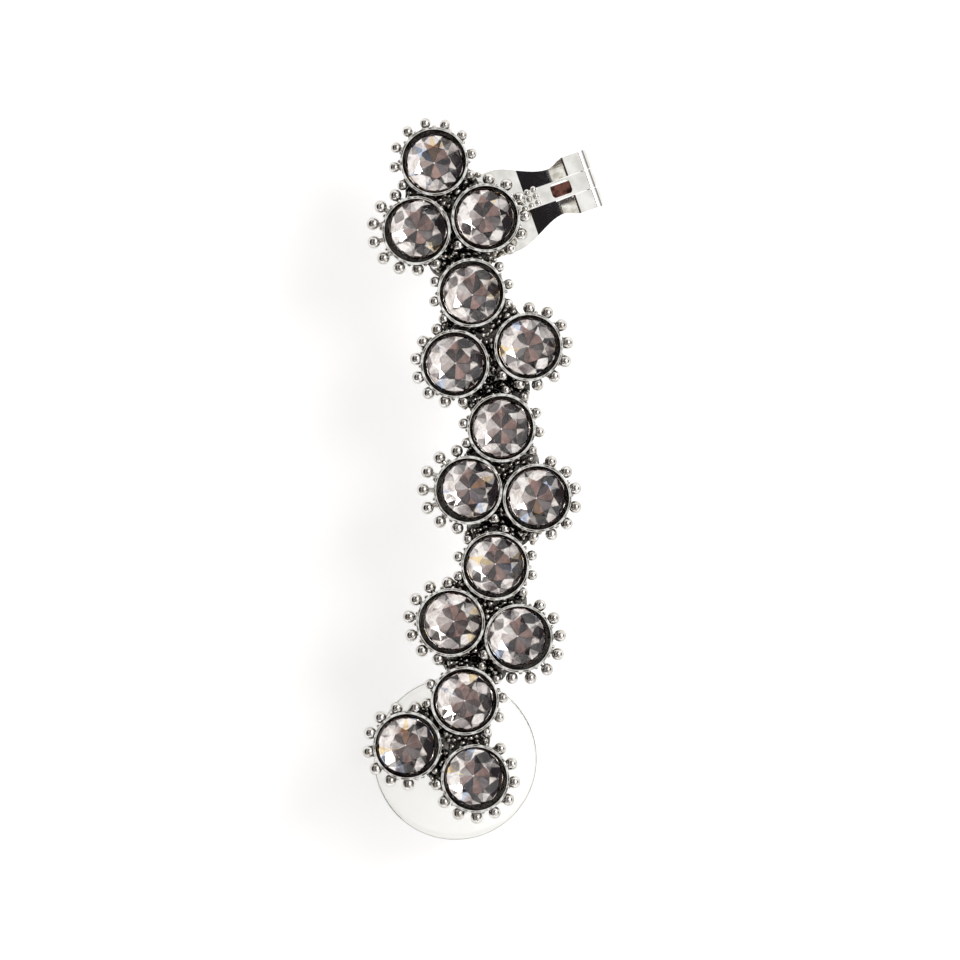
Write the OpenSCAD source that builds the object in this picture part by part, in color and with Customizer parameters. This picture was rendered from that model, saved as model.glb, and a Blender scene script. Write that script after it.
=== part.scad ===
// Ear climber: three-stone castings soldered end to end along an arc, worn up the edge of
// the ear. A post with a disc clutch holds the lobe and a sprung paddle clip holds the top.
// Millimetres, lying face up: +Z points out of the stones, +Y runs up the ear and +X is
// towards the outer edge of the ear. The origin is the root of the ear post, on the flat
// back plane of the castings.

/* [Climber curve] */
// Number of three-stone castings
trio_count = 5; // [3:1:6]
// Radius of the arc through the middles of the castings
arc_r = 50.5; // [40:0.5:120]
// Place of the lowest casting on the arc, in degrees
arc_start = -22.1; // [-26:0.1:-10]
// Gap between the end cup of one casting and the next casting
link_gap = 0.96; // [0.9:0.02:1.4]

/* [Stones] */
// Diameter of a stone at its girdle
stone_d = 4.24; // [3.4:0.02:5.2]
// Diameter across the corners of the table
table_d = 2.36; // [1.8:0.02:2.7]
// Height from the girdle up to the table
crown_h = 0.86; // [0.6:0.02:1.1]
// Thickness of the girdle
girdle_t = 0.08; // [0.04:0.01:0.16]
// Depth from the girdle down to the point
pavilion_h = 1.9; // [1.5:0.05:2.1]
// How far a stone may lean in its cup, in degrees
stone_tilt = 2.5; // [0:0.5:5]

/* [Cups] */
// Gap between a stone and the wall of its cup
stone_play = 0.2; // [0.1:0.01:0.3]
// Thickness of the wall above the seat
cup_wall = 0.17; // [0.15:0.01:0.4]
// Height of the rim above the back plane
cup_h = 2.3; // [2.1:0.05:3]
// Height of the seat that a stone is cemented to
seat_h = 1.1; // [0.6:0.05:1.2]
// Width of the seat, from the inner wall to the open back
seat_w = 0.9; // [0.6:0.02:1]
// Height of the middle of the girdle above the back plane
girdle_z = 2.16; // [2.1:0.02:2.6]
// Gap between the two side cups of a casting
cup_gap = 0.52; // [0.4:0.02:0.8]
// How far the end cup sits to one side of the casting's own middle line
apex_shift = 0.4; // [0:0.05:0.5]

/* [Beads and grains] */
// Diameter of the beads round the side cups
bead_d = 0.88; // [0.5:0.02:0.94]
// Diameter of the beads round the end cup
apex_bead_d = 0.76; // [0.4:0.02:0.9]
// Diameter of the neck of a bead that stands off its cup
neck_d = 0.34; // [0.24:0.02:0.4]
// Smallest distance from the middle of a bead to the next cup
bead_clear = 0.72; // [0.5:0.02:1]
// How far a bead bites into the wall of its cup
bead_bite = 0.11; // [0.06:0.01:0.13]
// Number of bead places round a side cup
bead_places = 13; // [9:1:14]
// Number of bead places round an end cup
apex_places = 12; // [9:1:14]
// Distance from the rim down to the middle of a bead
bead_drop = 0.34; // [0.2:0.02:0.6]
// Diameter of the grains between the cups
grain_d = 0.46; // [0.36:0.02:0.6]
// Distance between neighbouring grains
grain_pitch = 0.52; // [0.46:0.02:0.8]
// Thickness of the web between the cups
web_t = 1.2; // [0.6:0.05:1.4]
// Thickness of the flat link plates between the castings
link_t = 0.7; // [0.4:0.05:1]

/* [Ear post] */
// Diameter of the post
post_d = 0.8; // [0.7:0.05:1]
// Length of the post
post_len = 9.8; // [9:0.1:12]
// Distance from the outside of the cup inwards to the middle of the post
post_inset = 0.62; // [0.6:0.02:0.8]
// Depth of the two notches that the clutch grips
notch_depth = 0.08; // [0.04:0.01:0.12]
// Length of each notch along the post
notch_len = 0.6; // [0.54:0.02:0.9]
// Distance from the tip to the notch near it
notch_from_tip = 0.9; // [0.6:0.1:2]

/* [Disc clutch] */
// Distance from the castings to the disc, where the lobe goes
lobe_gap = 4.6; // [4.5:0.1:6]
// Diameter of the clear disc
disc_d = 12; // [9:0.2:14]
// Thickness of the clear disc
disc_t = 0.9; // [0.6:0.05:1.4]
// Diameter of the hub on the back of the disc
hub_d = 5.35; // [4:0.05:6.5]
// Height of the hub
hub_h = 0.9; // [0.5:0.1:1.5]
// Diameter of the metal barrel
barrel_d = 2.7; // [2.4:0.05:3.3]
// Wall of the metal barrel
barrel_wall = 0.35; // [0.25:0.05:0.5]
// Length of the metal barrel
barrel_len = 5.6; // [5:0.1:6.5]
// Gap round the post inside the clutch
post_play = 0.03; // [0.01:0.01:0.08]
// Gap between the turning barrel and its soft core
core_play = 0.03; // [0.01:0.01:0.08]

/* [Paddle clip] */
// Direction of the clip from the +X axis, in degrees
clip_angle = 19.5; // [10:0.5:30]
// Length of the stem from the cup to the hinge
stem_len = 5.36; // [5:0.05:7]
// Sideways place of the stem on the cup
stem_offset = 0.2; // [0:0.05:0.4]
// Width of the stem
stem_w = 1.36; // [1.2:0.02:1.7]
// Thickness of the stem
stem_t = 0.5; // [0.4:0.05:0.6]
// Height of the top of the stem above the back plane
stem_top = 1.1; // [0.9:0.05:1.4]
// Length of the window in the stem
window_len = 1.5; // [1:0.05:1.6]
// Width of the rails beside the window
rail_w = 0.15; // [0.12:0.01:0.25]
// Distance from the hinge to the near edge of the window
window_from_hinge = 1.22; // [1.1:0.02:1.4]
// Diameter of the rolled hinge knuckles
knuckle_d = 1.3; // [1.2:0.05:1.6]
// Diameter of the hinge pin
pin_d = 0.5; // [0.4:0.02:0.6]
// Gap round the hinge pin in the stem
pin_play = 0.04; // [0.01:0.01:0.08]
// Gap between neighbouring knuckles
knuckle_gap = 0.05; // [0.03:0.01:0.1]
// Width of the paddle across its hinge
arm_w = 4.28; // [4:0.02:5]
// Width of the paddle at its waist
waist_w = 3.44; // [3:0.02:3.8]
// Width of the pad
pad_w = 6.2; // [5:0.1:8]
// Distance from the hinge to the tip of the pad
paddle_len = 13.6; // [12:0.1:16]
// Thickness of the paddle
paddle_t = 0.42; // [0.35:0.01:0.5]
// Distance from the hinge to the bend where the pad begins
bend_x = 4.5; // [4.2:0.1:5]
// Gap between the castings and the pad at the bend
jaw_gap = 2.3; // [1.8:0.1:3.5]
// Gap between the castings and the tip of the pad
tip_gap = 1.5; // [1:0.1:2.5]
// Thickness of the spring tongue
tongue_t = 0.16; // [0.1:0.02:0.2]
// Width of the spring tongue
tongue_w = 0.9; // [0.7:0.05:1]

/* [Hidden] */
$fn = 48;
SIDES = 8;
HAIR = 0.01;
LEFT = 0;
RIGHT = 1;
APEX = 2;
CUPS = [LEFT, RIGHT, APEX];
// Turn of each casting from the arc, from the lobe upwards, in degrees
trio_twist = [-3.7, -3.4, -7.1, 1.1, -13.5];
// How far each cup stands off the middle of its ring of beads, in its casting's own frame
cup_shift = [
    [[0, 0], [0, 0], [0, 0]],
    [[0.2, 0], [-0.2, 0.1], [0, 0]],
    [[0.44, 0], [0, 0], [0, 0]],
    [[0, 0], [0, 0], [0, 0]],
    [[0.36, -0.05], [0, 0], [0.16, -0.08]]];
// How far each stone is pushed towards the middle of its casting, as a share of its room
seat_push = [[-0.5, 1, 0.2], [1, 1, -0.5], [1, 0.2, 0.3], [0.3, 0.3, 0.6], [1, 0.5, 0.6]];
// Room that a pushed stone keeps from the wall
seat_room = 0.02;
// Bearing of the post from the middle of its cup, in the lowest casting's own frame
post_bearing = 168;

stone_r = stone_d / 2;
cup_in_r = stone_r + stone_play;
cup_r = cup_in_r + cup_wall;
back_hole_r = cup_in_r - seat_w;
base_w = 2 * cup_r + cup_gap;
trio_h = base_w * sin(60);
link_len = 2 * cup_r + link_gap;
trio_pitch = trio_h + sqrt(pow(link_len, 2) - pow(base_w / 2, 2));
arc_step = trio_pitch / arc_r * 180 / PI;
grain_edge = 0.1;
notch_reach = 0.62;
notch_r = sqrt(pow(cup_r + notch_reach, 2) - pow(base_w / 2, 2));
link_end_r = 1.1;
link_core_r = 1.75;
neck_from = 0.04;
top_trio = trio_count - 1;

function turned(p, a) = [p[0] * cos(a) - p[1] * sin(a), p[0] * sin(a) + p[1] * cos(a)];
function ray(a) = [cos(a), sin(a)];

// Places in one casting's own frame, about the middle of its three cups
function ring_local(c) =
    [[-base_w / 2, -trio_h / 3], [base_w / 2, -trio_h / 3], [-apex_shift, 2 * trio_h / 3]][c]
    + [apex_shift / 3, 0];
function cup_local(t, c) = ring_local(c) + cup_shift[t % len(cup_shift)][c];

// The post fixes where the lowest casting is, and the arc places the rest
function trio_turn(t) = arc_start + t * arc_step + trio_twist[t % len(trio_twist)];
post_local = cup_local(0, RIGHT) + (cup_r - post_inset) * ray(post_bearing);
first_centre = -turned(post_local, trio_turn(0));
function trio_centre(t) = first_centre + arc_r * (ray(arc_start + t * arc_step) - ray(arc_start));
function cup_at(t, c) = trio_centre(t) + turned(cup_local(t, c), trio_turn(t));

all_cups = [for (t = [0:top_trio], c = CUPS) [t, c]];
function cup_clearance(p, t, c) =
    min([for (k = all_cups) if (k != [t, c]) norm(p - cup_at(k[0], k[1]))]) - cup_r;

// Beads stand on a ring about each cup wherever no other cup is in the way. A bead that its
// cup's shift would sink into the wall moves out to the wall, and one left off it has a neck.
function bead_r(c) = (c == APEX ? apex_bead_d : bead_d) / 2;
function bead_reach(c) = cup_r + bead_r(c) - bead_bite;
function bead_count(c) = c == APEX ? apex_places : bead_places;
function bead_turn(c, i) = 90 + (i + (c == APEX ? 0 : 0.5)) * 360 / bead_count(c);
function ring_spot(t, c, i) = bead_reach(c) * ray(bead_turn(c, i)) + ring_local(c) - cup_local(t, c);
function bead_out(t, c, i) = max(norm(ring_spot(t, c, i)), bead_reach(c));
function bead_bearing(t, c, i) = atan2(ring_spot(t, c, i)[1], ring_spot(t, c, i)[0]);
function bead_at(t, c, i) =
    cup_at(t, c) + bead_out(t, c, i) * ray(trio_turn(t) + bead_bearing(t, c, i));
function open_beads(t) = (t < 0 || t > top_trio) ? [] :
    [for (c = CUPS, i = [0:bead_count(c) - 1])
        if (cup_clearance(bead_at(t, c, i), t, c) > bead_clear) [t, c, i]];
function bead_spacing(b, o) = norm(bead_at(b[0], b[1], b[2]) - bead_at(o[0], o[1], o[2]));
// Where beads of two cups would touch, the one on the later cup stays
function rivals(b) = [for (o = concat(open_beads(b[0]), open_beads(b[0] + 1)))
    if (o[0] > b[0] || o[1] > b[1]) bead_spacing(b, o)];
function beads(t) = [for (b = open_beads(t)) if (min(concat([99], rivals(b))) > bead_d) b];

// Grains fill the narrow places between cups, on a staggered grid with a small wander
grain_steps = 9;
grain_row = grain_pitch * sin(60);
grain_wander = 0.04;
wander = rands(-grain_wander, grain_wander, 400, 7);
function wandered(p, i, j) =
    p + [wander[(17 * i + 5 * j + 200) % 400], wander[(11 * i + 31 * j + 400) % 400]];
grid = [for (i = [-grain_steps:grain_steps], j = [-grain_steps:grain_steps])
    wandered([(i + (j % 2 == 0 ? 0 : 0.5)) * grain_pitch, j * grain_row], i, j)];
function nearness(p, cups) = [for (c = cups) norm(p - c) - cup_r];
function near_count(p, cups, reach) = len([for (n = nearness(p, cups)) if (n < reach) 1]);
function in_gap(p, cups, reach) =
    min(nearness(p, cups)) > grain_edge && near_count(p, cups, reach) > 1;
function trio_cups(t) = [for (c = CUPS) cup_local(t, c)];
function trio_grains(t) = [for (p = grid) if (in_gap(p, trio_cups(t), notch_reach)) p];

// Clip: the hinge axis stands out from the right-hand cup of the top casting
hinge_xy = cup_at(top_trio, RIGHT) + turned([cup_r + stem_len, stem_offset], clip_angle);
knuckle_r = knuckle_d / 2;
hinge_z = stem_top - knuckle_r;
slot_w = stem_w + 2 * knuckle_gap;
slot_end = 2.6;
shoulder_x = 1.15;
waist_x = 2.35;
flare_x = 6.4;
arm_z = stem_top - paddle_t / 2;
bend_z = -jaw_gap - paddle_t / 2;
tip_z = -tip_gap - paddle_t / 2;
slope = (arm_z - bend_z) / (bend_x - shoulder_x);
lift = (paddle_t + tongue_t) / 2 * sqrt(1 + slope * slope);
tongue_foot_x = 3.9;
tongue_bend_x = 2.7;
tongue_tip_x = 0.95;

function two_digits(n) = str(n < 10 ? "0" : "", n);
function stone_name(t, c) = str("stone_", two_digits(3 * t + c + 1));

// ---- Castings -------------------------------------------------------------------------

module place_trio(t) {
    translate(trio_centre(t)) rotate(trio_turn(t)) children();
}

module web_outline(t) {
    polygon(trio_cups(t));
    for (c = CUPS) translate((cup_local(t, c) + cup_local(t, (c + 1) % 3)) / 2) circle(r = notch_r);
}

// Each cup is turned so that its own X axis points at the middle of the casting
module place_cup(t, c) {
    translate(cup_local(t, c)) rotate(30 + 120 * c) children();
}

module cup_bores(t) {
    for (c = CUPS) place_cup(t, c) {
        translate([0, 0, seat_h]) cylinder(r = cup_in_r, h = cup_h);
        translate([0, 0, -1]) cylinder(r = back_hole_r, h = cup_h);
    }
}

// A bead, with a neck back to the wall of its cup where it stands well off the wall
module bead(t, c, i) {
    out = bead_out(t, c, i);
    root = cup_r - cup_wall / 2;
    translate(cup_local(t, c)) rotate(bead_bearing(t, c, i)) translate([0, 0, cup_h - bead_drop]) {
        translate([out, 0, 0]) sphere(r = bead_r(c));
        if (out > bead_reach(c) + neck_from)
            translate([root, 0, 0]) rotate([0, 90, 0]) cylinder(d = neck_d, h = out - root, $fn = 24);
    }
}

module casting(t) {
    color("gainsboro") difference() {
        place_trio(t) union() {
            for (c = CUPS) place_cup(t, c) cylinder(r = cup_r, h = cup_h);
            linear_extrude(web_t) web_outline(t);
            for (p = trio_grains(t)) translate([p[0], p[1], web_t]) sphere(d = grain_d);
            for (b = beads(t)) bead(b[0], b[1], b[2]);
        }
        place_trio(t) cup_bores(t);
    }
}

// ---- Link plates: flat pieces soldered between one casting's end cup and the next ------

function link_cups(t) = [cup_at(t, APEX), cup_at(t + 1, LEFT), cup_at(t + 1, RIGHT)];
function link_middle(t) = (link_cups(t)[0] + link_cups(t)[1] + link_cups(t)[2]) / 3;
function link_grains(t) = [for (g = grid) let (p = g + link_middle(t))
    if (norm(g) < link_core_r && min(nearness(p, link_cups(t))) > grain_edge) p];

module link_plate(t) {
    cups = link_cups(t);
    color("gainsboro") difference() {
        union() {
            linear_extrude(link_t) {
                polygon(cups);
                for (c = [1, 2]) translate((cups[0] + cups[c]) / 2) circle(r = link_end_r);
            }
            for (p = link_grains(t)) translate([p[0], p[1], link_t]) sphere(d = grain_d);
        }
        translate([0, 0, -1]) {
            for (c = cups) translate(c) cylinder(r = cup_r, h = cup_h + 2);
            for (k = [t, t + 1]) place_trio(k) linear_extrude(cup_h + 2) web_outline(k);
        }
    }
}

// ---- Stones: round brilliants with an eight-sided table --------------------------------

module stone_body() {
    half_step = 180 / SIDES;
    bezel_slope = (crown_h - girdle_t / 2) / (stone_r - table_d / 2);
    star_r = (table_d / 2 + stone_r) / 2;
    star_z = crown_h - bezel_slope * (star_r * cos(half_step) - table_d / 2);
    main_slope = (pavilion_h - girdle_t / 2) / stone_r;
    half_r = stone_r * 0.3;
    half_z = -pavilion_h + main_slope * half_r * cos(half_step);
    rows = concat(
        [for (i = [0:SIDES - 1]) concat(table_d / 2 * ray(i * 2 * half_step), crown_h)],
        [for (i = [0:SIDES - 1]) concat(star_r * ray((2 * i + 1) * half_step), star_z)],
        [for (i = [0:2 * SIDES - 1], z = [-1, 1]) concat(stone_r * ray(i * half_step), z * girdle_t / 2)],
        [for (i = [0:SIDES - 1]) concat(half_r * ray((2 * i + 1) * half_step), half_z)],
        [[0, 0, -pavilion_h]]);
    hull() polyhedron(rows, [[for (i = [0:len(rows) - 1]) i]]);
}

module stone(t, c) {
    push = seat_push[t % len(seat_push)][c] * (stone_play - seat_room);
    middle = trio_centre(t) - cup_at(t, c);
    place = cup_at(t, c) + push * middle / norm(middle);
    turn = 37 * t + 64 * c;
    color("lavenderblush") translate([place[0], place[1], girdle_z])
        rotate([stone_tilt * sin(7 * turn), stone_tilt * cos(5 * turn), turn % 45]) stone_body();
}

// ---- Ear post and clutch ---------------------------------------------------------------

// A shallow V-shaped groove round the post, below a height z
function notch(z) = [[post_d / 2, z], [post_d / 2 - notch_depth, z - notch_len / 2],
    [post_d / 2, z - notch_len]];

module ear_post() {
    post_r = post_d / 2;
    color("silver") rotate_extrude() polygon(concat(
        [[0, 0], [post_r, 0]],
        notch(-lobe_gap), notch(-post_len + notch_from_tip + notch_len),
        [[post_r, -post_len + post_r / 2], [post_r / 2, -post_len], [0, -post_len]]));
}

barrel_r = barrel_d / 2;
core_r = barrel_r - barrel_wall - core_play;
core_len = barrel_len - 2 * barrel_wall;
bore_r = post_d / 2 + post_play;

module clutch_core() {
    color("white", 0.6) translate([0, 0, -lobe_gap - barrel_wall - core_len]) difference() {
        cylinder(r = core_r, h = core_len - core_play);
        translate([0, 0, -1]) cylinder(r = bore_r, h = core_len + 2);
    }
}

module clutch_barrel() {
    nose_r = 0.7;
    rim_r = barrel_r + 0.25;
    color("silver") translate([0, 0, -lobe_gap - barrel_len]) difference() {
        union() {
            rotate_extrude() {
                translate([0, nose_r]) square([barrel_r, barrel_len - nose_r - HAIR]);
                square([barrel_r - nose_r, barrel_len / 2]);
                intersection() {
                    translate([barrel_r - nose_r, nose_r]) circle(r = nose_r);
                    square([barrel_r, barrel_len]);
                }
            }
            translate([0, 0, nose_r + 0.3]) rotate_extrude()
                translate([barrel_r, 0]) circle(r = rim_r - barrel_r, $fn = 24);
        }
        translate([0, 0, barrel_wall - core_play])
            cylinder(r = core_r + core_play, h = core_len + core_play);
        translate([0, 0, -1]) cylinder(r = bore_r + 0.12, h = barrel_len + 2);
    }
}

module clutch_disc() {
    edge_r = disc_t / 2;
    color("white", 0.4) translate([0, 0, -lobe_gap - disc_t]) difference() {
        union() {
            cylinder(r = disc_d / 2 - edge_r, h = disc_t);
            translate([0, 0, edge_r]) rotate_extrude() intersection() {
                translate([disc_d / 2 - edge_r, 0]) circle(r = edge_r);
                translate([0, -disc_t]) square([disc_d, 2 * disc_t]);
            }
            translate([0, 0, -hub_h]) cylinder(r = hub_d / 2, h = hub_h + HAIR);
        }
        translate([0, 0, -hub_h - 1]) cylinder(r = barrel_r, h = hub_h + disc_t + 2);
    }
}

// ---- Paddle clip, drawn with its hinge axis along Y and its pad towards -X --------------

module place_clip() {
    translate([hinge_xy[0], hinge_xy[1], 0]) rotate(clip_angle) children();
}

module across(width) {
    translate([0, width / 2, 0]) rotate([90, 0, 0]) linear_extrude(width) children();
}

// A strip of sheet metal along a line of [x, z] points, round at its bends and ends
module strip(points, thick) {
    for (i = [0:len(points) - 1]) translate(points[i]) circle(d = thick);
    for (i = [1:len(points) - 1]) {
        run = points[i] - points[i - 1];
        translate(points[i - 1]) rotate(atan2(run[1], run[0]))
            translate([0, -thick / 2]) square([norm(run), thick]);
    }
}

module rounded_window(length, width, corner) {
    translate([corner, 0]) square([length - 2 * corner, width]);
    translate([0, corner]) square([length, width - 2 * corner]);
    for (x = [corner, length - corner], y = [corner, width - corner])
        translate([x, y]) circle(r = corner);
}

module knuckle(width, bore) {
    across(width) difference() {
        translate([0, hinge_z]) circle(r = knuckle_r);
        translate([0, hinge_z]) circle(r = bore);
    }
}

module clip_stem() {
    window_w = stem_w - 2 * rail_w;
    pin_hole_r = pin_d / 2 + pin_play;
    color("whitesmoke") difference() {
        place_clip() difference() {
            union() {
                translate([-stem_len - cup_wall, -stem_w / 2, stem_top - stem_t])
                    cube([stem_len + cup_wall, stem_w, stem_t]);
                across(stem_w) translate([0, hinge_z]) circle(r = knuckle_r);
            }
            across(stem_w + 2) translate([0, hinge_z]) circle(r = pin_hole_r);
            translate([-window_from_hinge - window_len, -window_w / 2, stem_top - stem_t - 1])
                linear_extrude(stem_t + 2) rounded_window(window_len, window_w, 0.3);
        }
        translate(concat(cup_at(top_trio, RIGHT), -1)) cylinder(r = cup_r, h = cup_h + 2);
    }
    solder_grains();
}

// Grains melted round the root of the stem
module solder_grains() {
    color("whitesmoke") place_clip()
        for (x = [0:2], y = [-1:1])
            translate([-stem_len + 0.42 + x * grain_pitch, y * grain_pitch + 0.06 * x, stem_top])
                sphere(d = grain_d);
}

// Half the width of the paddle at a distance from its hinge, easing between its sizes
function eased(s) = s * s * (3 - 2 * s);
function between(x, a, b) = eased(min(1, max(0, (x - a) / (b - a))));
function half_width(x) = x < waist_x
    ? (arm_w + (waist_w - arm_w) * between(x, shoulder_x, waist_x)) / 2
    : (waist_w + (pad_w - waist_w) * between(x, waist_x, flare_x)) / 2;
outline_steps = 20;
outline_x = [for (i = [0:outline_steps]) flare_x * i / outline_steps];

module paddle_outline() {
    pad_end = paddle_len - pad_w / 2;
    polygon(concat(
        [for (x = outline_x) [-x, half_width(x)]], [[-pad_end, pad_w / 2]],
        [[-pad_end, -pad_w / 2]], [for (i = [outline_steps:-1:0]) [-outline_x[i], -half_width(outline_x[i])]]));
    translate([-pad_end, 0]) circle(d = pad_w, $fn = 96);
    translate([0, -arm_w / 2]) square([knuckle_d, arm_w]);
}

module clip_paddle() {
    line = [[0, arm_z], [-shoulder_x, arm_z], [-bend_x, bend_z], [-paddle_len, tip_z]];
    color("whitesmoke") place_clip() difference() {
        union() {
            intersection() {
                across(pad_w + 2) strip(line, paddle_t);
                translate([0, 0, bend_z - 2]) linear_extrude(stem_top - bend_z + 4) paddle_outline();
            }
            across(arm_w) translate([0, hinge_z]) circle(r = knuckle_r);
        }
        translate([-slot_end, -slot_w / 2, bend_z]) cube([slot_end + knuckle_d, slot_w, stem_top - bend_z + 1]);
        across(arm_w + 2) translate([0, hinge_z]) circle(d = pin_d);
    }
}

function tongue_z(x) = arm_z - slope * (x - shoulder_x) + lift;

module clip_tongue() {
    line = [[-tongue_foot_x, tongue_z(tongue_foot_x)], [-tongue_bend_x, tongue_z(tongue_bend_x)],
        [-tongue_tip_x, tongue_z(tongue_bend_x)]];
    color("rosybrown") place_clip() across(tongue_w) strip(line, tongue_t);
}

module hinge_pin() {
    color("silver") place_clip() across(arm_w) translate([0, hinge_z]) circle(d = pin_d);
}

// ---- Nodes -----------------------------------------------------------------------------

for (t = [0:top_trio]) casting(t);
for (t = [1:top_trio]) link_plate(t - 1);
for (k = all_cups) stone(k[0], k[1]);
ear_post();
clutch_core();
clutch_barrel();
clutch_disc();
clip_stem();
clip_paddle();
clip_tongue();
hinge_pin();
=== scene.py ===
import math
import random

import bpy
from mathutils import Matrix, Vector


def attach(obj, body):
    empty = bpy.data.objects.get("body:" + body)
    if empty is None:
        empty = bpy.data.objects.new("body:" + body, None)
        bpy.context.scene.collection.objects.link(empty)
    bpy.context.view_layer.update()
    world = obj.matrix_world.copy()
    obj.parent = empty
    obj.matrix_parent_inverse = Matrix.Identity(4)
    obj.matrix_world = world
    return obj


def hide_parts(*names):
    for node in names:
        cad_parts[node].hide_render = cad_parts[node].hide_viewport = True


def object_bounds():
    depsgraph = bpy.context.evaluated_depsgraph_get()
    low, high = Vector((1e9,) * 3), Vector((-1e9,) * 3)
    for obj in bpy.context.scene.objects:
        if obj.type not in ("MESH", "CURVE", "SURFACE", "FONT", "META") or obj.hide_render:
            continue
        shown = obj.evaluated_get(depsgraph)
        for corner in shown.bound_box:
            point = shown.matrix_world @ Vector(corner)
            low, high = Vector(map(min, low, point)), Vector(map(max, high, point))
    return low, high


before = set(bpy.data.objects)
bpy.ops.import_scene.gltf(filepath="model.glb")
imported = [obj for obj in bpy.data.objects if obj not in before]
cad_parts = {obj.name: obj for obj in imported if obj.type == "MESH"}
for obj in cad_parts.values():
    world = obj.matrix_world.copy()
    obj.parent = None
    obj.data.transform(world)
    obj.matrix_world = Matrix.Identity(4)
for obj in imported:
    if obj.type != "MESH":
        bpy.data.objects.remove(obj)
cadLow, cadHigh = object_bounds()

mm = 0.001  # the frame is in metres
weld = 1e-6  # corners nearer than this, in metres, are one
print("stage: frame loaded")


# ---- small helpers ----

def hexColour(code):  # sRGB hex to linear, with alpha 1
    parts = [int(code[i:i + 2], 16) / 255 for i in (1, 3, 5)]
    linear = [p / 12.92 if p <= 0.04045 else ((p + 0.055) / 1.055) ** 2.4 for p in parts]
    return (*linear, 1.0)


def addNode(tree, kind, settings=None, links=None):
    node = tree.nodes.new(kind)
    for key, value in (settings or {}).items():
        if isinstance(key, str) and hasattr(node, key) and key not in node.inputs:
            setattr(node, key, value)
        else:
            node.inputs[key].default_value = value
    for key, socket in (links or {}).items():
        tree.links.new(socket, node.inputs[key])
    return node


def startMaterial(name):
    material = bpy.data.materials.new(name)
    material.use_nodes = True
    material.node_tree.nodes.clear()
    return material, material.node_tree


def finishMaterial(tree, shader):
    output = addNode(tree, "ShaderNodeOutputMaterial")
    tree.links.new(shader.outputs[0], output.inputs["Surface"])


def ramp(tree, factor, stops):
    node = addNode(tree, "ShaderNodeValToRGB", None, {"Fac": factor})
    while len(node.color_ramp.elements) < len(stops):
        node.color_ramp.elements.new(0.5)
    for element, (place, colour) in zip(node.color_ramp.elements, stops):
        element.position = place
        element.color = colour
    return node


def clearSelection():
    bpy.ops.object.select_all(action="DESELECT")


def pick(obj):
    clearSelection()
    obj.select_set(True)
    bpy.context.view_layer.objects.active = obj


def settle(obj, name):  # place into the mesh, origin at zero
    pick(obj)
    bpy.ops.object.transform_apply(location=True, rotation=True, scale=True)
    bpy.context.scene.cursor.location = (0, 0, 0)
    bpy.ops.object.origin_set(type="ORIGIN_CURSOR")
    obj.name = name
    obj.data.name = name
    return obj


def smooth(obj, degrees):
    pick(obj)
    bpy.ops.object.shade_smooth_by_angle(angle=math.radians(degrees))


def copies(prototype, places, name):  # one modelled piece, copied to [x, y, z, size] places
    made = []
    for x, y, z, size in places:
        twin = prototype.copy()
        twin.data = prototype.data.copy()
        twin.location = (x, y, z)
        twin.scale = (size, size, size)
        bpy.context.scene.collection.objects.link(twin)
        made.append(twin)
    clearSelection()
    for twin in made:
        twin.select_set(True)
    bpy.context.view_layer.objects.active = made[0]
    bpy.ops.object.join()
    return settle(made[0], name)


def setMaterial(obj, *materials):
    obj.data.materials.clear()
    for material in materials:
        obj.data.materials.append(material)


def dress(node, material):  # a CAD node keeps its mesh and takes a better finish
    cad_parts[node].material_slots[0].material = material


# ---- finishes ----

def objectPlace(tree):
    return addNode(tree, "ShaderNodeTexCoord").outputs["Object"]


def noise(tree, place, sizeMm, detail):  # spots of a real size
    return addNode(tree, "ShaderNodeTexNoise", {"Scale": 1 / (sizeMm * mm), "Detail": detail},
                   {"Vector": place}).outputs["Fac"]


def between(tree, factor, start, end, low, high):  # from low at start to high at end
    return addNode(tree, "ShaderNodeMapRange",
                   {"From Min": start, "From Max": end, "To Min": low, "To Max": high},
                   {"Value": factor}).outputs["Result"]


def raised(tree, height, lift, depthMm, over=None):  # a bump, laid over another where given
    links = {"Height": height, "Normal": over} if over else {"Height": height}
    return addNode(tree, "ShaderNodeBump", {"Strength": lift, "Distance": depthMm * mm},
                   links).outputs["Normal"]


def metalShader(tree, colour, rough, normal, settings=None):
    return addNode(tree, "ShaderNodeBsdfPrincipled", {"Metallic": 1.0, **(settings or {})},
                   {"Base Color": colour, "Roughness": rough, "Normal": normal})


# Rhodium plate over a polished white-metal casting: mirror bright, with the slight orange-peel of a
# casting. Painted shade, warm and going to black, darkens it in recesses and between parts.
castPlate = {
    "bright": "#F4F3F0", "shade": "#857868", "recessShade": "#0B0908", "edge": "#8F8A86",
    "paintedShadeMm": 2.2, "paintedShadeAt": (0.34, 0.44, 0.56), "tarnishAndReflection": "#DAD6CF", "tarnishAndReflectionAt": (0.40, 0.62),
    "peelMm": 0.45, "peelLift": 0.02, "peelDepthMm": 0.3, "pitMm": 0.07, "pitLift": 0.012,
    "pitDepthMm": 0.1, "smoothest": 0.02, "roughest": 0.07,
}
# The rims get less polish, and dark patches painted at random stand in for dark reflections, so they are
# bright and dark by turns
rimPlate = {**castPlate, "tarnishAndReflection": "#2B2622", "tarnishAndReflectionAt": (0.38, 0.58), "roughest": 0.14}
# The grains get none, so they are softer, and their painted shade is paler and reaches a shorter way
grainPlate = {**castPlate, "shade": "#D8CFC2", "recessShade": "#3A3028", "edge": "#B8B3AE", "paintedShadeMm": 0.22,
              "paintedShadeAt": (0.04, 0.16, 0.32), "smoothest": 0.14, "roughest": 0.26}


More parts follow.
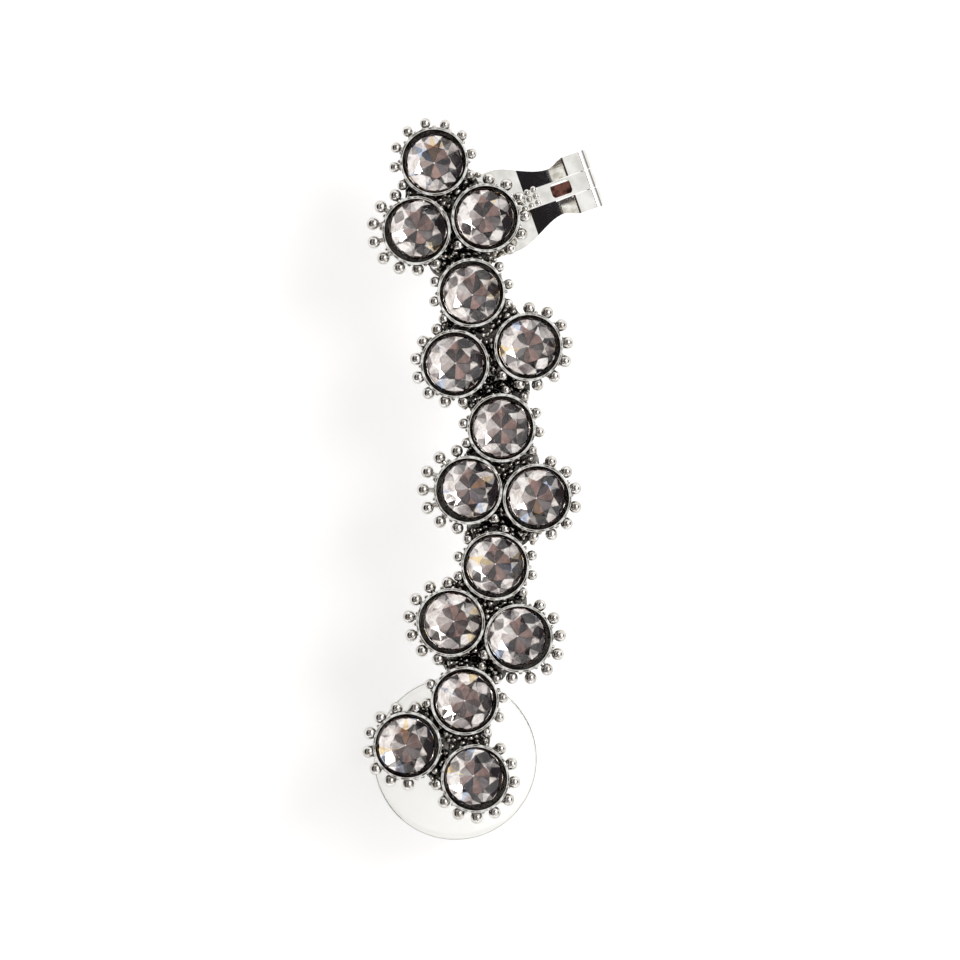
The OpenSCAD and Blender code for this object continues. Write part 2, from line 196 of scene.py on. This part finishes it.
def makeCastPlate(name, plate):
    material, tree = startMaterial(name)
    place = objectPlace(tree)
    peel = noise(tree, place, plate["peelMm"], 2.0)
    pits = noise(tree, place, plate["pitMm"], 3.0)
    # painted shade: the colour runs from the recess shade through shade to bright as ambient occlusion opens
    # up
    occlusion = addNode(tree, "ShaderNodeAmbientOcclusion",
                    {"Distance": plate["paintedShadeMm"] * mm, "samples": 6})
    tones = (hexColour(plate[tone]) for tone in ("recessShade", "shade", "bright"))
    shade = ramp(tree, occlusion.outputs["AO"], list(zip(plate["paintedShadeAt"], tones)))
    # random patches, a light tarnish on the castings and painted dark reflections on the rims
    washes = (hexColour(plate["tarnishAndReflection"]), hexColour("#FFFFFF"))
    wearAndReflection = ramp(tree, peel, list(zip(plate["tarnishAndReflectionAt"], washes)))
    worn = addNode(tree, "ShaderNodeVectorMath", {"operation": "MULTIPLY"},
                   {0: shade.outputs["Color"], 1: wearAndReflection.outputs["Color"]})
    rough = between(tree, pits, 0.3, 0.7, plate["smoothest"], plate["roughest"])
    normal = raised(tree, pits, plate["pitLift"], plate["pitDepthMm"],
                    raised(tree, peel, plate["peelLift"], plate["peelDepthMm"]))
    shader = metalShader(tree, worn.outputs["Vector"], rough, normal,
                         {"Specular Tint": hexColour(plate["edge"])})
    finishMaterial(tree, shader)
    return material


# Bright plate over rolled strip: flatter than the castings, with faint rolling lines
# along the strip.
stripPlate = {"bright": "#F1F0EC", "dull": "#D8D6D0", "cloudMm": 1.3, "lineMm": 0.05, "lineStretch": 14.0,
              "lineLift": 0.003, "lineDepthMm": 0.1, "smoothest": 0.03, "roughest": 0.06, "turn": 19.5}


def makeStripPlate():
    material, tree = startMaterial("platedRolledStrip")
    place = objectPlace(tree)
    along = addNode(tree, "ShaderNodeMapping",
                    {"Rotation": (0, 0, -math.radians(stripPlate["turn"])),
                     "Scale": (1 / stripPlate["lineStretch"], 1, 1)}, {"Vector": place})
    lines = noise(tree, along.outputs["Vector"], stripPlate["lineMm"], 2.0)
    shade = ramp(tree, noise(tree, place, stripPlate["cloudMm"], 3.0),
                 [(0.35, hexColour(stripPlate["dull"])), (0.65, hexColour(stripPlate["bright"]))])
    rough = between(tree, lines, 0.3, 0.7, stripPlate["smoothest"], stripPlate["roughest"])
    normal = raised(tree, lines, stripPlate["lineLift"], stripPlate["lineDepthMm"])
    finishMaterial(tree, metalShader(tree, shade.outputs["Color"], rough, normal))
    return material


# Bright plate over drawn wire and a turned shell: fine rings round the post's axis.
wirePlate = {"bright": "#E4E4E2", "dull": "#BDBBB6", "ringMm": 0.09, "ringStretch": 50.0, "ringLift": 0.04,
             "ringDepthMm": 0.1, "smoothest": 0.07, "roughest": 0.18}


def makeWirePlate():
    material, tree = startMaterial("platedTurnedMetal")
    across = 1 / wirePlate["ringStretch"]
    rings = addNode(tree, "ShaderNodeMapping", {"Scale": (across, across, 1)}, {"Vector": objectPlace(tree)})
    turning = noise(tree, rings.outputs["Vector"], wirePlate["ringMm"], 2.0)
    shade = ramp(tree, turning, [(0.3, hexColour(wirePlate["dull"])), (0.6, hexColour(wirePlate["bright"]))])
    rough = between(tree, turning, 0.3, 0.7, wirePlate["smoothest"], wirePlate["roughest"])
    normal = raised(tree, turning, wirePlate["ringLift"], wirePlate["ringDepthMm"])
    finishMaterial(tree, metalShader(tree, shade.outputs["Color"], rough, normal))
    return material


# Phosphor-bronze spring strip, left unplated and browned by the solder's heat.
springBronze = {"fresh": "#94655A", "brown": "#2E1C19", "cloudMm": 0.5, "cloudLift": 0.08,
                "cloudDepthMm": 0.1, "smoothest": 0.16, "roughest": 0.42}


def makeSpringBronze():
    material, tree = startMaterial("brownedSpringBronze")
    cloud = noise(tree, objectPlace(tree), springBronze["cloudMm"], 4.0)
    shade = ramp(tree, cloud,
                 [(0.35, hexColour(springBronze["brown"])), (0.62, hexColour(springBronze["fresh"]))])
    rough = between(tree, cloud, 0, 1, springBronze["smoothest"], springBronze["roughest"])
    normal = raised(tree, cloud, springBronze["cloudLift"], springBronze["cloudDepthMm"])
    finishMaterial(tree, metalShader(tree, shade.outputs["Color"], rough, normal))
    return material


# Clear cut lead crystal, machine polished: sharp reflections, and a trace of warmth.
cutCrystal = {"tint": "#FFFCFA", "ior": 1.56, "scuffMm": 0.25, "scuffed": 0.03}


def makeCrystal():
    material, tree = startMaterial("clearCutCrystal")
    rough = between(tree, noise(tree, objectPlace(tree), cutCrystal["scuffMm"], 3.0), 0.62, 0.8,
                    0.0, cutCrystal["scuffed"])
    shader = addNode(tree, "ShaderNodeBsdfPrincipled",
                     {"Base Color": hexColour(cutCrystal["tint"]), "IOR": cutCrystal["ior"],
                      "Transmission Weight": 1.0}, {"Roughness": rough})
    finishMaterial(tree, shader)
    return material


# Silver foil fused to the back of the stone. A cut stone turns light back with two
# reflections, which comes to one from a nearly level mirror, so each facet's normal is laid
# almost flat, with the small lean of its own that the "facetLean" attribute holds.
backFoil = {"silver": "#F4F1EF", "worn": "#CFC4BF", "cloudMm": 0.8, "flatten": 0.13, "rough": 0.03}


def makeFoil():
    material, tree = startMaterial("silverBackFoil")
    shade = ramp(tree, noise(tree, objectPlace(tree), backFoil["cloudMm"], 3.0),
                 [(0.3, hexColour(backFoil["worn"])), (0.55, hexColour(backFoil["silver"]))])
    # painted fire: now and then a facet's foil is tinted pale blue or yellow, in place of the colours a cut
    # stone splits out of light
    tint = addNode(tree, "ShaderNodeAttribute", {"attribute_name": "paintedFireTint"})
    withPaintedFire = addNode(tree, "ShaderNodeVectorMath", {"operation": "MULTIPLY"},
                      {0: shade.outputs["Color"], 1: tint.outputs["Color"]})
    facet = addNode(tree, "ShaderNodeNewGeometry")
    flatten = backFoil["flatten"]
    level = addNode(tree, "ShaderNodeVectorMath", {"operation": "MULTIPLY", 1: (flatten, flatten, 1)},
                    {0: facet.outputs["Normal"]})
    lean = addNode(tree, "ShaderNodeAttribute", {"attribute_name": "facetLean"})
    leaning = addNode(tree, "ShaderNodeVectorMath", {"operation": "ADD"},
                      {0: level.outputs["Vector"], 1: lean.outputs["Vector"]})
    unit = addNode(tree, "ShaderNodeVectorMath", {"operation": "NORMALIZE"}, {0: leaning.outputs["Vector"]})
    shader = addNode(tree, "ShaderNodeBsdfPrincipled", {"Metallic": 1.0, "Roughness": backFoil["rough"]},
                     {"Base Color": withPaintedFire.outputs["Vector"], "Normal": unit.outputs["Vector"]})
    finishMaterial(tree, shader)
    return material


# Clear moulded polycarbonate: glassy, with faint flow marks from the mould.
clearDisc = {"tint": "#FBFBF8", "ior": 1.52, "flowMm": 2.5, "flowLift": 0.02, "flowDepthMm": 0.3,
             "smoothest": 0.02, "roughest": 0.07}


def makeClearPlastic():
    material, tree = startMaterial("clearMouldedPlastic")
    flow = noise(tree, objectPlace(tree), clearDisc["flowMm"], 1.0)
    rough = between(tree, flow, 0, 1, clearDisc["smoothest"], clearDisc["roughest"])
    normal = raised(tree, flow, clearDisc["flowLift"], clearDisc["flowDepthMm"])
    shader = addNode(tree, "ShaderNodeBsdfPrincipled",
                     {"Base Color": hexColour(clearDisc["tint"]), "IOR": clearDisc["ior"],
                      "Transmission Weight": 1.0}, {"Roughness": rough, "Normal": normal})
    finishMaterial(tree, shader)
    return material


# Soft translucent silicone: milky, waxy, slightly uneven.
softCore = {"milk": "#E9E9E4", "thick": "#CFCFC8", "cloudMm": 0.6, "rough": 0.45, "ior": 1.41, "clear": 0.35}


def makeSilicone():
    material, tree = startMaterial("translucentSilicone")
    shade = ramp(tree, noise(tree, objectPlace(tree), softCore["cloudMm"], 2.0),
                 [(0.3, hexColour(softCore["thick"])), (0.7, hexColour(softCore["milk"]))])
    shader = addNode(tree, "ShaderNodeBsdfPrincipled",
                     {"Roughness": softCore["rough"], "IOR": softCore["ior"],
                      "Transmission Weight": softCore["clear"]}, {"Base Color": shade.outputs["Color"]})
    finishMaterial(tree, shader)
    return material


castMetal = makeCastPlate("rhodiumPlatedCasting", castPlate)
grainMetal = makeCastPlate("rhodiumPlatedGrains", grainPlate)
rimMetal = makeCastPlate("rhodiumPlatedRims", rimPlate)
stripMetal = makeStripPlate()
wireMetal = makeWirePlate()
bronze = makeSpringBronze()
crystal = makeCrystal()
foil = makeFoil()
plastic = makeClearPlastic()
silicone = makeSilicone()
print("stage: finishes made")

nodeNames = sorted(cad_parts)
stones = [n for n in nodeNames if n.startswith("stone_")]
for name in nodeNames:
    if name.startswith(("casting_", "link_plate_")):
        dress(name, castMetal)
for name in ("clip_stem", "clip_paddle"):
    dress(name, stripMetal)
for name in ("ear_post", "clutch_barrel", "hinge_pin"):
    dress(name, wireMetal)
dress("clip_tongue", bronze)
dress("clutch_disc", plastic)
dress("clutch_core", silicone)


# ---- the layout of the cups, as the CAD model has it, in millimetres ----

row = {
    "trios": 5, "arcRadius": 50.5, "arcStart": -22.1, "linkGap": 0.96, "cupGap": 0.52,
    "cupRadius": 2.49, "rimHeight": 2.3, "apexShift": 0.4, "postInset": 0.62, "postBearing": 168,
    "twist": [-3.7, -3.4, -7.1, 1.1, -13.5], "wall": 0.17, "webHeight": 1.2, "linkHeight": 0.7,
    "cupShift": {(1, 0): (0.2, 0), (1, 1): (-0.2, 0.1), (2, 0): (0.44, 0), (4, 0): (0.36, -0.05),
                 (4, 2): (0.16, -0.08)},
}
baseWidth = 2 * row["cupRadius"] + row["cupGap"]
trioHeight = baseWidth * math.sin(math.radians(60))
linkLength = 2 * row["cupRadius"] + row["linkGap"]
trioPitch = trioHeight + math.sqrt(linkLength ** 2 - (baseWidth / 2) ** 2)
arcStep = math.degrees(trioPitch / row["arcRadius"])


def ray(degrees):
    return Vector((math.cos(math.radians(degrees)), math.sin(math.radians(degrees))))


def turned(point, degrees):
    along, across = ray(degrees), ray(degrees + 90)
    return along * point[0] + across * point[1]


def cupLocal(trio, cup):  # 0 left, 1 right, 2 end cup
    places = [(-baseWidth / 2, -trioHeight / 3), (baseWidth / 2, -trioHeight / 3),
              (-row["apexShift"], 2 * trioHeight / 3)]
    shift = row["cupShift"].get((trio, cup), (0, 0))
    return Vector(places[cup]) + Vector((row["apexShift"] / 3, 0)) + Vector(shift)


def trioTurn(trio):
    return row["arcStart"] + trio * arcStep + row["twist"][trio]


postLocal = cupLocal(0, 1) + (row["cupRadius"] - row["postInset"]) * ray(row["postBearing"])
firstCentre = -turned(postLocal, trioTurn(0))


def trioCentre(trio):
    reach = ray(row["arcStart"] + trio * arcStep) - ray(row["arcStart"])
    return firstCentre + row["arcRadius"] * reach


def cupCentre(trio, cup):
    return trioCentre(trio) + turned(cupLocal(trio, cup), trioTurn(trio))


allCups = [(t, c) for t in range(row["trios"]) for c in range(3)]


def gapTo(point, cup):
    return (point - cupCentre(*cup)).length - row["cupRadius"]


# ---- rolled rims, one on each cup ----

rim = {"wideMm": 0.19, "tallMm": 0.16, "crestMm": 0.05, "sinkMm": 0.045, "wobbleMm": 0.004, "around": 72}


def makeRim():  # a four-sided section with a narrow level crest, spun round the cup
    clearSelection()
    reach = (row["cupRadius"] - row["wall"] / 2) * mm
    bpy.ops.mesh.primitive_plane_add(size=1, location=(0, 0, 0))
    ring = bpy.context.object
    bpy.ops.object.mode_set(mode="EDIT")
    bpy.ops.mesh.select_all(action="SELECT")
    bpy.ops.mesh.delete(type="ONLY_FACE")
    bpy.ops.mesh.select_all(action="SELECT")
    bpy.ops.transform.resize(value=(rim["wideMm"] * mm, rim["tallMm"] * mm, 1))
    bpy.ops.object.mode_set(mode="OBJECT")
    for corner in ring.data.vertices:  # draw the upper corners in to the crest
        if corner.co.y > 0:
            corner.co.x *= rim["crestMm"] / rim["wideMm"]
    bpy.ops.object.mode_set(mode="EDIT")
    bpy.ops.mesh.select_all(action="SELECT")
    bpy.ops.transform.rotate(value=-math.pi / 2, orient_axis="X", center_override=(0, 0, 0))
    bpy.ops.transform.translate(value=(reach, 0, 0))
    bpy.ops.mesh.spin(steps=rim["around"], angle=2 * math.pi, center=(0, 0, 0), axis=(0, 0, 1))
    bpy.ops.mesh.select_all(action="SELECT")
    bpy.ops.mesh.remove_doubles(threshold=weld)
    bpy.ops.mesh.normals_make_consistent(inside=False)
    bpy.ops.transform.vertex_random(offset=rim["wobbleMm"] * mm, uniform=1.0, seed=3)
    bpy.ops.object.mode_set(mode="OBJECT")
    setMaterial(ring, rimMetal)
    smooth(ring, 30)
    return ring


def finishPrototype(prototype, places, name, body):
    piece = copies(prototype, places, name)
    bpy.data.objects.remove(prototype)
    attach(piece, body)
    return piece


rimZ = (row["rimHeight"] - rim["sinkMm"]) * mm
ringPlaces = [(*(cupCentre(*cup) * mm), rimZ, 1) for cup in allCups]
finishPrototype(makeRim(), ringPlaces, "cup_rims", "climber")
print("stage: rims rolled")


# ---- grains: small balls run into the gaps between cups, and round the foot of each wall ----

grain = {
    "segments": 9, "rings": 6, "dentMm": 0.02, "squash": 0.9,
    "dropMm": (0.32, 0.54), "tries": 2600, "acrossMm": (-6, 6), "alongMm": (-6, 8), "spread": 0.62,
    "crowd": 0.80, "nearWall": -0.03, "risen": (0.1, 0.72),
    "footMm": 0.30, "footSizes": (0.8, 1.25), "footStep": 24, "footStray": (-0.3, 0.3),
    "footHeight": 1.32, "footLift": (-0.2, 0.2), "footReach": 0.04,
}


def makeGrain():  # a low ball, since there are hundreds
    clearSelection()
    bpy.ops.mesh.primitive_uv_sphere_add(segments=grain["segments"], ring_count=grain["rings"],
                                         radius=0.5 * mm, location=(0, 0, 0))
    ball = bpy.context.object
    bpy.ops.object.mode_set(mode="EDIT")
    bpy.ops.mesh.select_all(action="SELECT")
    bpy.ops.transform.vertex_random(offset=grain["dentMm"] * mm, uniform=1.0, seed=5)
    bpy.ops.transform.resize(value=(1, 1, grain["squash"]))
    bpy.ops.object.mode_set(mode="OBJECT")
    bpy.ops.object.shade_smooth()
    setMaterial(ball, grainMetal)
    return ball


def gapGrains():
    draw = random.Random(11)
    held = []
    for trio in range(row["trios"]):
        middle = trioCentre(trio)
        for _ in range(grain["tries"]):
            spot = middle + Vector((draw.uniform(*grain["acrossMm"]), draw.uniform(*grain["alongMm"])))
            size = draw.uniform(*grain["dropMm"])
            gaps = sorted((gapTo(spot, cup), cup) for cup in allCups)
            if gaps[0][0] < size / 2 + grain["nearWall"] or gaps[1][0] > grain["spread"] + size / 2:
                continue
            if gaps[0][1][0] != trio or any((spot - other).length < (size + width) / 2 * grain["crowd"]
                                            for other, width, _ in held):
                continue
            sameTrio = gaps[0][1][0] == gaps[1][1][0]
            floor = row["webHeight"] if sameTrio else row["linkHeight"]
            held.append((spot, size, floor + draw.uniform(*grain["risen"])))
    return [(*(spot * mm), height * mm, size) for spot, size, height in held]


def footGrains():
    draw = random.Random(12)
    places = []
    for cup in allCups:
        for step in range(grain["footStep"]):
            spot = cupCentre(*cup) + (row["cupRadius"] + grain["footReach"]) * ray(
                (step + draw.uniform(*grain["footStray"])) * 360 / grain["footStep"])
            size = grain["footMm"] * draw.uniform(*grain["footSizes"])
            if min(gapTo(spot, other) for other in allCups if other != cup) > size / 2:
                height = grain["footHeight"] + draw.uniform(*grain["footLift"])
                places.append((*(spot * mm), height * mm, size))
    return places


finishPrototype(makeGrain(), gapGrains() + footGrains(), "grains", "climber")
print("stage: grains set")


# ---- stones: sharp facets with lit edges, and foil on the back ----

# blueFire and yellowFire are painted fire, foil tints standing in for the split colours of light
stoneCut = {"edgeMm": 0.024, "edgeAngle": 8, "facetAngle": 2.0, "foilBelow": -0.25, "lean": 0.29,
            "blueFire": "#D3E5FF", "yellowFire": "#FFEEC6", "fireShare": 0.04}


def markFacets(stone, seed):  # each foil facet gets a lean and now and then a spectral tint
    draw = random.Random(seed)
    lean = stone.data.attributes.new("facetLean", "FLOAT_VECTOR", "FACE")
    tint = stone.data.attributes.new("paintedFireTint", "FLOAT_COLOR", "FACE")
    for face in stone.data.polygons:
        lean.data[face.index].vector = [draw.uniform(-1, 1) * stoneCut["lean"] for _ in "xy"] + [0]
        # the spectral tint is painted fire, not a colour of the foil itself
        luck = draw.random() / stoneCut["fireShare"]
        colour = stoneCut["blueFire"] if luck < 1 else stoneCut["yellowFire"] if luck < 2 else "#FFFFFF"
        tint.data[face.index].color = hexColour(colour)


def makeStone(node, seed):
    clearSelection()
    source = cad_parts[node]
    stone = source.copy()
    stone.data = source.data.copy()
    bpy.context.scene.collection.objects.link(stone)
    pick(stone)
    bpy.ops.object.mode_set(mode="EDIT")
    bpy.ops.mesh.select_all(action="SELECT")
    bpy.ops.mesh.remove_doubles(threshold=weld)
    bpy.ops.mesh.dissolve_limited(angle_limit=math.radians(stoneCut["facetAngle"]))
    bpy.ops.object.mode_set(mode="OBJECT")
    stone.data.normals_split_custom_set([(0, 0, 0)] * len(stone.data.loops))
    bevel = stone.modifiers.new("litEdges", "BEVEL")
    bevel.width = stoneCut["edgeMm"] * mm
    bevel.segments = 1
    bevel.limit_method = "ANGLE"
    bevel.angle_limit = math.radians(stoneCut["edgeAngle"])
    bpy.ops.object.modifier_apply(modifier=bevel.name)
    setMaterial(stone, crystal, foil)
    for face in stone.data.polygons:
        face.use_smooth = False
        face.material_index = 1 if face.normal.z < stoneCut["foilBelow"] else 0
    markFacets(stone, seed)
    return settle(stone, "cut_" + node)


for seed, name in enumerate(stones):
    stone = makeStone(name, seed)
    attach(stone, "climber")
    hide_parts(name)
print("stage: stones cut")


# ---- camera, floor and light ----

view = {"middleMm": (1.81, 20.52), "planeMm": 2.3, "distanceMm": 450.0, "widthMm": 69.6, "sensor": 36.0}


def makeCamera():
    clearSelection()
    height = view["planeMm"] + view["distanceMm"]
    bpy.ops.object.camera_add(location=(view["middleMm"][0] * mm, view["middleMm"][1] * mm, height * mm),
                              rotation=(0, 0, 0))
    camera = bpy.context.object
    camera.data.sensor_width = view["sensor"]
    camera.data.lens = view["sensor"] * view["distanceMm"] / view["widthMm"]
    camera.data.clip_start = 0.01
    camera.data.clip_end = 10
    bpy.context.scene.camera = camera


floorLook = {"colour": "#F8F8F7", "rough": 0.7, "glow": 0.52, "size": 1.0, "middle": (0, 0.02),
             "gapMm": 0.05, "toothMm": 2.5, "toothLift": 0.02, "toothDepthMm": 0.1}


def makeFloor():  # just under the lowest point, with a weak glow so that it comes out white
    clearSelection()
    height = cadLow.z - floorLook["gapMm"] * mm
    bpy.ops.mesh.primitive_plane_add(size=floorLook["size"], location=(*floorLook["middle"], height))
    floor = bpy.context.object
    floor.name = "floor"
    material, tree = startMaterial("whitePaintedBoard")
    tooth = noise(tree, objectPlace(tree), floorLook["toothMm"], 2.0)
    normal = raised(tree, tooth, floorLook["toothLift"], floorLook["toothDepthMm"])
    shader = addNode(tree, "ShaderNodeBsdfPrincipled",
                     {"Base Color": hexColour(floorLook["colour"]), "Roughness": floorLook["rough"],
                      "Emission Color": hexColour("#FFFFFF"), "Emission Strength": floorLook["glow"]},
                     {"Normal": normal})
    finishMaterial(tree, shader)
    setMaterial(floor, material)


# One soft box, for the shadow: place, aim and size in metres, power in watts
softBox = {"place": (0.24, 0.16, 0.38), "aim": (0.0, 0.02, 0.0), "size": 0.17, "power": 0.45}


def makeSoftBox():
    clearSelection()
    direction = Vector(softBox["aim"]) - Vector(softBox["place"])
    bpy.ops.object.light_add(type="AREA", location=softBox["place"],
                             rotation=direction.to_track_quat("-Z", "Y").to_euler())
    lamp = bpy.context.object
    lamp.name = "softBox"
    lamp.data.shape = "SQUARE"
    lamp.data.size = softBox["size"]
    lamp.data.energy = softBox["power"]


# The studio round the object: a white tent, dark above and to the left where the camera and
# the room are, with many small cards. Each card is a direction, a half-angle in degrees, an edge
# softness and a colour, and a later card lies over an earlier one.
tent = {"wall": "#FFFFFF", "strength": 1.12, "cards": [
    ((-0.60, 0.05, 0.80), 56, 0.10, "#1E1C1F"),
    ((-0.97, 0.00, 0.22), 40, 0.10, "#2A272B"),
    ((0.97, 0.05, 0.20), 22, 0.06, "#625E62"),
    ((0.10, -0.50, 0.86), 13, 0.03, "#A08580"),
    ((0.34, 0.44, 0.83), 11, 0.03, "#3C383D"),
    ((-0.12, 0.42, 0.90), 9, 0.02, "#A58A84"),
    ((-0.32, -0.16, 0.93), 8, 0.02, "#8E746F"),
    ((-0.42, -0.40, 0.81), 7, 0.02, "#FFFFFF"),
    ((-0.50, -0.26, 0.82), 3, 0.004, "#FFFFFF"),
    ((-0.33, -0.52, 0.79), 4, 0.006, "#FFFFFF"),
    ((-0.62, 0.14, 0.77), 8, 0.02, "#F8F4F0"),
    ((-0.46, 0.62, 0.63), 10, 0.02, "#FFFFFF"),
    ((-0.66, -0.46, 0.60), 8, 0.02, "#E8E6E6"),
    ((-0.34, 0.22, 0.91), 6, 0.02, "#8B8689"),
    ((0.16, -0.26, 0.95), 6, 0.02, "#201D22"),
    ((0.28, 0.10, 0.95), 5, 0.02, "#9B807B"),
    ((0.05, 0.22, 0.97), 5, 0.02, "#5A5458"),
    ((0.60, 0.46, 0.66), 9, 0.02, "#4A464B"),
    ((0.66, -0.42, 0.62), 7, 0.02, "#57504F"),
    ((0.52, 0.22, 0.82), 8, 0.02, "#F2EEEA"),
    ((0.44, -0.06, 0.90), 5, 0.01, "#8C7A76"),
    ((0.30, -0.78, 0.55), 11, 0.03, "#3B373C"),
    ((0.14, 0.80, 0.58), 10, 0.03, "#6E6668"),
    ((0.08, 0.03, 1.0), 12, 0.008, "#FFFFFF"),
]}


def makeTent():
    world = bpy.data.worlds.new("studioTent")
    bpy.context.scene.world = world
    world.use_nodes = True
    tree = world.node_tree
    tree.nodes.clear()
    direction = addNode(tree, "ShaderNodeTexCoord").outputs["Generated"]
    wall = addNode(tree, "ShaderNodeRGB")
    wall.outputs[0].default_value = (*[part * tent["strength"] for part in hexColour(tent["wall"])[:3]], 1)
    socket = wall.outputs[0]
    for aim, halfAngle, softness, cardColour in tent["cards"]:
        towards = addNode(tree, "ShaderNodeVectorMath",
                          {"operation": "DOT_PRODUCT", 1: Vector(aim).normalized()}, {0: direction})
        edge = math.cos(math.radians(halfAngle))
        mask = between(tree, towards.outputs["Value"], edge - softness / 2, edge + softness / 2, 0, 1)
        mix = addNode(tree, "ShaderNodeMix", {"data_type": "RGBA"})
        tree.links.new(mask, mix.inputs[0])
        tree.links.new(socket, mix.inputs[6])
        mix.inputs[7].default_value = hexColour(cardColour)
        socket = mix.outputs[2]
    background = addNode(tree, "ShaderNodeBackground", None, {"Color": socket})
    output = addNode(tree, "ShaderNodeOutputWorld")
    tree.links.new(background.outputs[0], output.inputs["Surface"])


makeCamera()
makeFloor()
makeSoftBox()
makeTent()
bpy.context.scene.view_settings.view_transform = "Standard"
print("stage: studio set")
